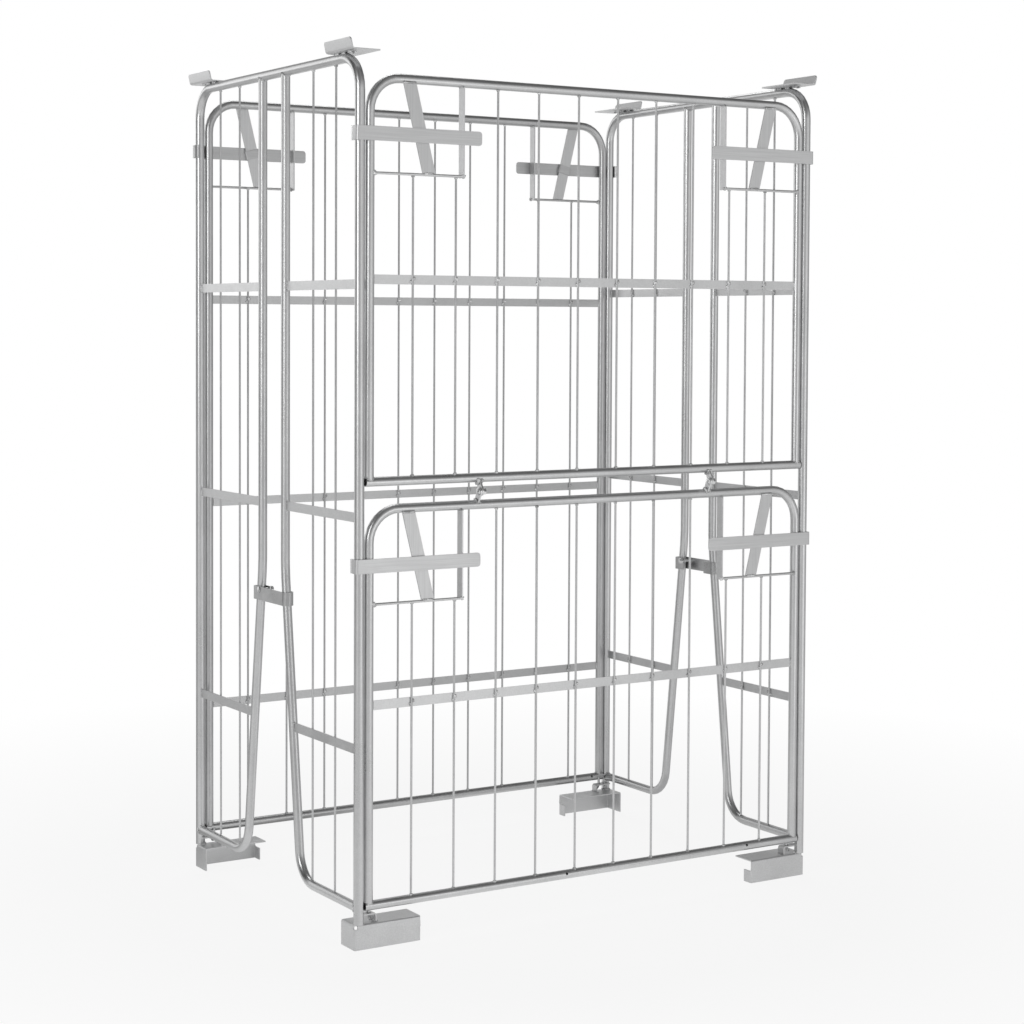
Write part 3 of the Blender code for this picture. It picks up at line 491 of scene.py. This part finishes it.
class Welds:
    """All the weld metal of one body, in one mesh."""

    def __init__(self, body):
        self.body = body
        self.mesh = bmesh.new()

    def lump(self, centre, size):
        """A small lump of melted metal."""
        frame = Matrix.Translation(centre) @ Matrix.Diagonal((*size, 1))
        made = bmesh.ops.create_icosphere(self.mesh, subdivisions=LUMP_DETAIL, radius=1, matrix=frame)
        dents, follow = LUMP_ROUGH
        for vert in made["verts"]:
            shift = noise.noise_vector(vert.co * follow)
            vert.co += shift * min(size) * dents

    def lumps(self, place, spots, side=1):
        """Lumps round a place, with their distance across turned to its side."""
        for (across, along, up), size in spots:
            self.lump(Vector(place) + Vector((side * across, along, up)), size)

    def bead(self, path, radius, closed=False):
        """A rippled bead along a path."""
        rings = []
        count = len(path)
        run = 0.0
        uneven, follow = UNEVEN
        for index, point in enumerate(path):
            before = path[index - 1] if index or closed else point
            after = path[(index + 1) % count] if index + 1 < count or closed else point
            heading = (after - before).normalized()
            side = heading.orthogonal().normalized()
            up = heading.cross(side)
            run += (point - before).length
            ripple = RIPPLE_DEPTH * math.sin(2 * math.pi * run / RIPPLE)
            swell = 1 + ripple + uneven * noise.noise(point * follow)
            if not closed and index in (0, count - 1):
                swell *= BEAD_END
            ring = []
            for step in range(BEAD_SIDES):
                turn = 2 * math.pi * step / BEAD_SIDES
                offset = (side * math.cos(turn) + up * math.sin(turn)) * radius * swell
                ring.append(self.mesh.verts.new(point + offset))
            rings.append(ring)
        pairs = list(zip(rings, rings[1:]))
        if closed:
            pairs.append((rings[-1], rings[0]))
        for first, second in pairs:
            for step in range(BEAD_SIDES):
                ahead = (step + 1) % BEAD_SIDES
                self.mesh.faces.new((first[step], first[ahead], second[ahead], second[step]))
        if not closed:
            self.mesh.faces.new(list(reversed(rings[0])))
            self.mesh.faces.new(rings[-1])

    def seam(self, start, end, radius):
        """A straight bead."""
        start, end = Vector(start), Vector(end)
        count = max(2, math.ceil((end - start).length / BEAD_STEP) + 1)
        self.bead([start.lerp(end, index / (count - 1)) for index in range(count)], radius)

    def finish(self):
        bmesh.ops.recalc_face_normals(self.mesh, faces=self.mesh.faces)
        data = bpy.data.meshes.new(self.body + "_welds")
        self.mesh.to_mesh(data)
        self.mesh.free()
        data.shade_smooth()
        data.materials.append(WELD_ZINC)
        piece = bpy.data.objects.new(self.body + "_welds", data)
        bpy.context.scene.collection.objects.link(piece)
        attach(piece, self.body)


def ring(centre, radius):
    """Points of a level circle."""
    points = []
    for index in range(RING_POINTS):
        turn = 2 * math.pi * index / RING_POINTS
        points.append(Vector(centre) + Vector((radius * math.cos(turn), radius * math.sin(turn), 0)))
    return points


def saddle(centre, along, out, tube, rail):
    """The line where a tube that leaves a rail's centre towards out meets the rail's surface."""
    centre, along, out = Vector(centre), Vector(along), Vector(out)
    across = along.cross(out)
    points = []
    for index in range(SADDLE_POINTS):
        turn = 2 * math.pi * index / SADDLE_POINTS
        side = tube * math.sin(turn)
        rise = math.sqrt(max(0.0, rail * rail - side * side))
        points.append(centre + along * tube * math.cos(turn) + across * side + out * rise)
    return points


def leg_offset(z):
    """Distance of a leg's centre from the middle of its end frame, at height z."""
    return LEG_SPREAD + LEG_SLOPE * max(0.0, LEG_KNEE - z)


# A corner of an end frame: its name, its side and face, its post's x and distance from the middle,
# the height of the post's lower end, and that of the top rail's centre
Corner = namedtuple("Corner", "name side face x post_y post_end top")


def post_weld(welds, corner):
    """Bead round the post on its foot, but for the notch at the foot's corner."""
    foot_low, foot_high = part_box(corner.name + "_foot")
    edge_x = max(abs(foot_low.x), abs(foot_high.x))
    edge_y = max(abs(foot_low.y), abs(foot_high.y))
    post_foot = (corner.x, corner.face * corner.post_y, corner.post_end + SINK)
    seated = []
    for point in ring(post_foot, POST_R + SINK):
        past_end = abs(point.x) > edge_x - FOOT_NOTCH - SHEET_BEAD
        past_side = abs(point.y) > edge_y - FOOT_NOTCH - SHEET_BEAD
        over_notch = past_end and past_side
        if not over_notch and abs(point.y) < edge_y - SHEET_BEAD:
            seated.append(point)
    start = max(range(len(seated)), key=lambda index: (seated[index] - seated[index - 1]).length)
    welds.bead(seated[start:] + seated[:start], SHEET_BEAD)


def leg_welds(welds, corner):
    """Beads where the leg meets the top rail and its bottom rail meets the post."""
    face = corner.face
    leg_top = saddle((corner.x, face * LEG_SPREAD, corner.top), (0, 1, 0), (0, 0, -1), TUBE_R, POST_R)
    welds.bead(leg_top, TUBE_BEAD, closed=True)
    rail_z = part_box(corner.name + "_leg")[0].z + TUBE_R
    rail_end = saddle((corner.x, face * corner.post_y, rail_z), (0, 0, 1), (0, -face, 0), TUBE_R, POST_R)
    welds.bead(rail_end, TUBE_BEAD, closed=True)


def end_mesh_welds(welds, corner):
    """Lumps where wires cross bars and meet the top rail, and seams at the bars' ends."""
    side, face = corner.side, corner.face
    wire_x = corner.x - side * WIRE_OFFSET
    bar_x = corner.x + side * BAR_OUT
    for across in END_WIRES:
        for z in END_BARS:
            welds.lumps((wire_x, face * across, z), END_CROSSING, side)
        welds.lumps((wire_x, face * across, corner.top - POST_R), END_WIRE_TOP)
    seam_x = bar_x + side * BAR_SEAM_OUT
    seam_y = face * (corner.post_y - POST_R + SINK)
    for z in END_BARS:
        welds.seam((seam_x, seam_y, z - BAR_SEAM_HALF), (seam_x, seam_y, z + BAR_SEAM_HALF), BAR_BEAD)
        for edge in (-1, 1):
            rim = z + edge * BAR_CORNER
            inner = leg_offset(rim) + TUBE_R - SINK
            welds.lumps((bar_x, face * inner, rim), END_BAR_CORNER, side)


def stirrup_welds(welds, corner):
    """Seams of the stirrup on the foot, and a tack on the post."""
    low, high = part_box(corner.name + "_stirrup")
    cheek = low.x if corner.side > 0 else high.x
    seam_z = low.z + STIRRUP_SEAM_RISE
    for edge in (-1, 1):
        seam_x = cheek + edge * STIRRUP_SEAM_OUT
        start = (seam_x, low.y + STIRRUP_SEAM_INSET, seam_z)
        end = (seam_x, high.y - STIRRUP_SEAM_INSET, seam_z)
        welds.seam(start, end, STIRRUP_BEAD)
    tack_x = corner.x - corner.side * math.sqrt(POST_R**2 - STIRRUP_TACK_HALF**2)
    tack_y = corner.face * corner.post_y
    tack_z = high.z - STIRRUP_TACK_DROP
    start = (tack_x, tack_y - STIRRUP_TACK_HALF, tack_z)
    end = (tack_x, tack_y + STIRRUP_TACK_HALF, tack_z)
    welds.seam(start, end, STIRRUP_TACK)


def tab_welds(welds, corner):
    """Short tacks of the stacking tab on both flanks of the top rail."""
    low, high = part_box(corner.name + "_stacking_tab")
    tack_z = corner.top + POST_R - TAB_TACK_DROP
    for flank in (-1, 1):
        tack_x = corner.x + flank * TAB_TACK_OUT
        for offset in TAB_TACKS:
            middle = corner.face * (abs((low.y + high.y) / 2) + offset)
            if abs(middle) > corner.post_y - TAB_TACK_END:
                continue
            start = (tack_x, middle - TAB_TACK_HALF, tack_z)
            end = (tack_x, middle + TAB_TACK_HALF, tack_z)
            welds.seam(start, end, TAB_BEAD)


def end_frame_welds(welds):
    for end, side in SIDES.items():
        low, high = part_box(f"{end}_end_hoop")
        middle = (low.x + high.x) / 2
        for where, face in FACES.items():
            name = f"{end}_{where}"
            corner = Corner(name, side, face, middle, high.y - POST_R, low.z, high.z - POST_R)
            post_weld(welds, corner)
            leg_welds(welds, corner)
            end_mesh_welds(welds, corner)
            stirrup_welds(welds, corner)
            tab_welds(welds, corner)


def guide_welds(welds, gate, end, face):
    """Seams at both ends of a latch guide, and a lump at its foot."""
    side = SIDES[end]
    low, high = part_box(f"{gate}_{end}_latch_guide")
    guide_y = (low.y + high.y) / 2
    outer = high.x if side > 0 else low.x
    inner = low.x if side > 0 else high.x
    upper_bead, lower_bead = GUIDE_BEADS
    seam_y, seam_z = guide_y + face * GUIDE_TOP_OUT, high.z + GUIDE_TOP_RISE
    welds.seam((outer, seam_y, seam_z), (outer - side * GUIDE_WIDTH, seam_y, seam_z), upper_bead)
    seam_y, seam_z = guide_y + face * GUIDE_FOOT_OUT, low.z - GUIDE_FOOT_DROP
    start = (inner + side * GUIDE_FOOT_INSET, seam_y, seam_z)
    end_of_seam = (inner + side * (GUIDE_WIDTH - GUIDE_FOOT_INSET), seam_y, seam_z)
    welds.seam(start, end_of_seam, lower_bead)
    lump_x = inner + side * (GUIDE_WIDTH - GUIDE_LUMP_INSET)
    welds.lumps((lump_x, guide_y + face * GUIDE_LUMP_OUT, low.z), GUIDE_FOOT)


def gate_welds(welds, gate, face):
    hoop_low, hoop_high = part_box(f"{gate}_gate_hoop")
    y = (hoop_low.y + hoop_high.y) / 2
    top = hoop_high.z - TUBE_R
    side_x = hoop_high.x - TUBE_R
    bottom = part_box(f"{gate}_gate_bottom_rail")[1].z - TUBE_R
    wire_y = y - WIRE_OFFSET
    rod_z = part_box(f"{gate}_left_latch_window")[0].z + ROD_R
    strip_x = abs(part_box(f"{gate}_right_latch_window")[0].x) + STRAP_GAUGE / 2
    tube_side = side_x - math.sqrt(TUBE_R**2 - ROD_OUT**2)
    for end, side in SIDES.items():
        for index in range(GATE_WIRES):
            x = side * (index + 0.5) * WIRE_PITCH
            wire_top = rod_z - ROD_R if index >= GATE_WIRES - WINDOW_WIRES else top - TUBE_R
            welds.lumps((x, wire_y, bottom + TUBE_R), GATE_WIRE_FOOT)
            welds.lumps((x, wire_y, wire_top), GATE_WIRE_TOP)
            for z in GATE_BARS[gate]:
                welds.lumps((x, wire_y, z), GATE_CROSSING)
        seam_x, seam_y = side * (side_x - TUBE_R + GATE_SEAM_SINK), y - GATE_SEAM_FRONT
        for z in GATE_BARS[gate]:
            start = (seam_x, seam_y, z - BAR_SEAM_HALF)
            welds.seam(start, (seam_x, seam_y, z + BAR_SEAM_HALF), GATE_BEAD)
        side_tube = saddle((side * side_x, y, bottom), (1, 0, 0), (0, 0, 1), TUBE_R - SINK, TUBE_R)
        welds.bead(side_tube, GATE_BEAD, closed=True)
        seam_z = top - TUBE_R + STRIP_SEAM_RISE
        for edge in (-1, 1):
            seam_x = side * strip_x + edge * STRIP_SEAM_OUT
            start = (seam_x, y - STRIP_SEAM_HALF, seam_z)
            welds.seam(start, (seam_x, y + STRIP_SEAM_HALF, seam_z), STRIP_BEAD)
        welds.lumps((side * tube_side, y + face * ROD_OUT, rod_z), ROD_END, side)
        welds.lumps((side * strip_x, y + face * ROD_OUT, rod_z), ROD_CROSSING, side)
        guide_welds(welds, gate, end, face)


def hinge_welds(welds, gate, toward):
    """Fillets where the hinge lugs stand on their rail."""
    hoop_low, hoop_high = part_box(f"{gate}_gate_hoop")
    rail_top = hoop_high.z if gate == "lower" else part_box("upper_gate_bottom_rail")[1].z
    rail_y = (hoop_low.y + hoop_high.y) / 2
    start, run = LUG_FILLET
    size, follow = LUG_LUMP_SWELL
    for end in SIDES:
        low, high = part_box(f"{gate}_{end}_hinge_lug")
        rail = Vector(((low.x + high.x) / 2, rail_y, rail_top - TUBE_R))
        for edge in (-1, 1):
            path = []
            for index in range(LUG_FILLET_POINTS):
                turn = math.radians(start + run * index / (LUG_FILLET_POINTS - 1)) * toward
                offset = Vector((0, -math.cos(turn) * TUBE_R, math.sin(-turn) * TUBE_R))
                path.append(rail + offset * LUG_FILLET_REACH + Vector((edge * LUG_FILLET_OUT, 0, 0)))
            welds.bead(path, TUBE_BEAD)
            for index in range(LUG_LUMPS):
                spot = path[2 + 2 * index]
                away = (spot - rail).normalized()
                swell = LUG_LUMP + size * noise.noise(spot * follow + Vector((0, 0, edge)))
                place = spot + away * LUG_LUMP_OUT + Vector((edge * LUG_LUMP_OUT, 0, 0))
                welds.lump(place, (swell, swell, swell * LUG_LUMP_HEIGHT))


def build_welds():
    end_welds = Welds("end_frames")
    end_frame_welds(end_welds)
    end_welds.finish()
    for gate, face in GATES.items():
        welds = Welds(f"{gate}_gate")
        gate_welds(welds, gate, face)
        if gate != "rear":
            hinge_welds(welds, gate, 1 if gate == "lower" else -1)
        welds.finish()


noise.seed_set(WELD_SEED)
build_welds()


def camera():
    data = bpy.data.cameras.new("camera")
    data.sensor_width = 36
    data.lens = LENS
    data.shift_x, data.shift_y = SHIFT
    eye = bpy.data.objects.new("camera", data)
    turn = Matrix.Rotation(-CAMERA_YAW, 4, "Z") @ Matrix.Rotation(math.pi / 2 - CAMERA_PITCH, 4, "X")
    eye.matrix_world = Matrix.Translation(CAMERA_AT) @ turn @ Matrix.Rotation(CAMERA_ROLL, 4, "Z")
    bpy.context.scene.collection.objects.link(eye)
    bpy.context.scene.camera = eye


def lamp(name, place, aim, size, power):
    data = bpy.data.lights.new(name, "AREA")
    data.shape = "RECTANGLE"
    data.size, data.size_y = size
    data.energy = power
    light = bpy.data.objects.new(name, data)
    light.location = place
    light.rotation_euler = (Vector(aim) - Vector(place)).to_track_quat("-Z", "Y").to_euler()
    bpy.context.scene.collection.objects.link(light)


def sky():
    """White to look at; in reflections, a room that is dim overhead, before and behind."""
    world = bpy.data.worlds.new("studio")
    world.use_nodes = True
    bpy.context.scene.world = world
    room = Nodes(world.node_tree)
    room.tree.nodes.clear()
    out = room.node("ShaderNodeOutputWorld")
    path = room.node("ShaderNodeLightPath")
    white = room.node("ShaderNodeBackground")
    white.inputs["Color"].default_value = WHITE
    seen = room.node("ShaderNodeBackground")
    place = room.split(room.node("ShaderNodeTexCoord").outputs["Generated"])
    heading = room.heading_level(place, ROOM_HEADING)
    walls = room.blend("MULTIPLY", 1.0, heading, room.ramp(place["Z"], ROOM_HEIGHT))
    below = room.spread(place["Z"], 0.0, 1.0, -GROUND_EDGE[0], -GROUND_EDGE[1])
    level = room.blend("MIX", below, walls, room.heading_level(place, GROUND_HEADING))
    room.link(level, seen.inputs["Color"])
    plain = path.outputs["Is Camera Ray"]
    room.mix_shaders(plain, seen.outputs["Background"], white.outputs["Background"], out.inputs["Surface"])


def floor():
    """A pale floor that keeps the shadow near the object and runs out into white."""
    mesh = bmesh.new()
    bmesh.ops.create_circle(mesh, cap_ends=True, segments=FLOOR_SIDES, radius=FLOOR_REACH)
    data = bpy.data.meshes.new("floor")
    mesh.to_mesh(data)
    mesh.free()
    pale = Material("floor_paper")
    dark, light = [(tone, tone, tone, 1) for tone in FLOOR_TONES]
    pale.surface(Base_Color=pale.blend("MIX", pale.noise(FLOOR_CLOUDS), dark, light), Roughness=FLOOR_ROUGH)
    length = pale.node("ShaderNodeVectorMath", operation="LENGTH")
    pale.link(pale.place, length.inputs[0])
    fade = pale.spread(length.outputs["Value"], FLOOR_GLOW, 1.0, *FLOOR_FADE)
    path = pale.node("ShaderNodeLightPath")
    direct = pale.maths("MAXIMUM", path.outputs["Is Camera Ray"], path.outputs["Is Transmission Ray"])
    mirrored = path.outputs["Is Glossy Ray"]
    shown = pale.maths("MAXIMUM", pale.maths("MULTIPLY", fade, direct), mirrored)
    glow = pale.node("ShaderNodeEmission")
    ground_level = pale.heading_level(pale.split(pale.place), GROUND_HEADING)
    pale.link(pale.blend("MIX", mirrored, WHITE, ground_level), glow.inputs["Color"])
    target = pale.tree.nodes["Material Output"].inputs["Surface"]
    pale.mix_shaders(shown, pale.shader.outputs["BSDF"], glow.outputs["Emission"], target)
    data.materials.append(pale.material)
    ground = bpy.data.objects.new("floor", data)
    ground.location.z = -FLOOR_DROP
    bpy.context.scene.collection.objects.link(ground)


camera()
sky()
floor()
for settings in LAMPS:
    lamp(*settings)

bpy.context.scene.view_settings.view_transform = "Standard"
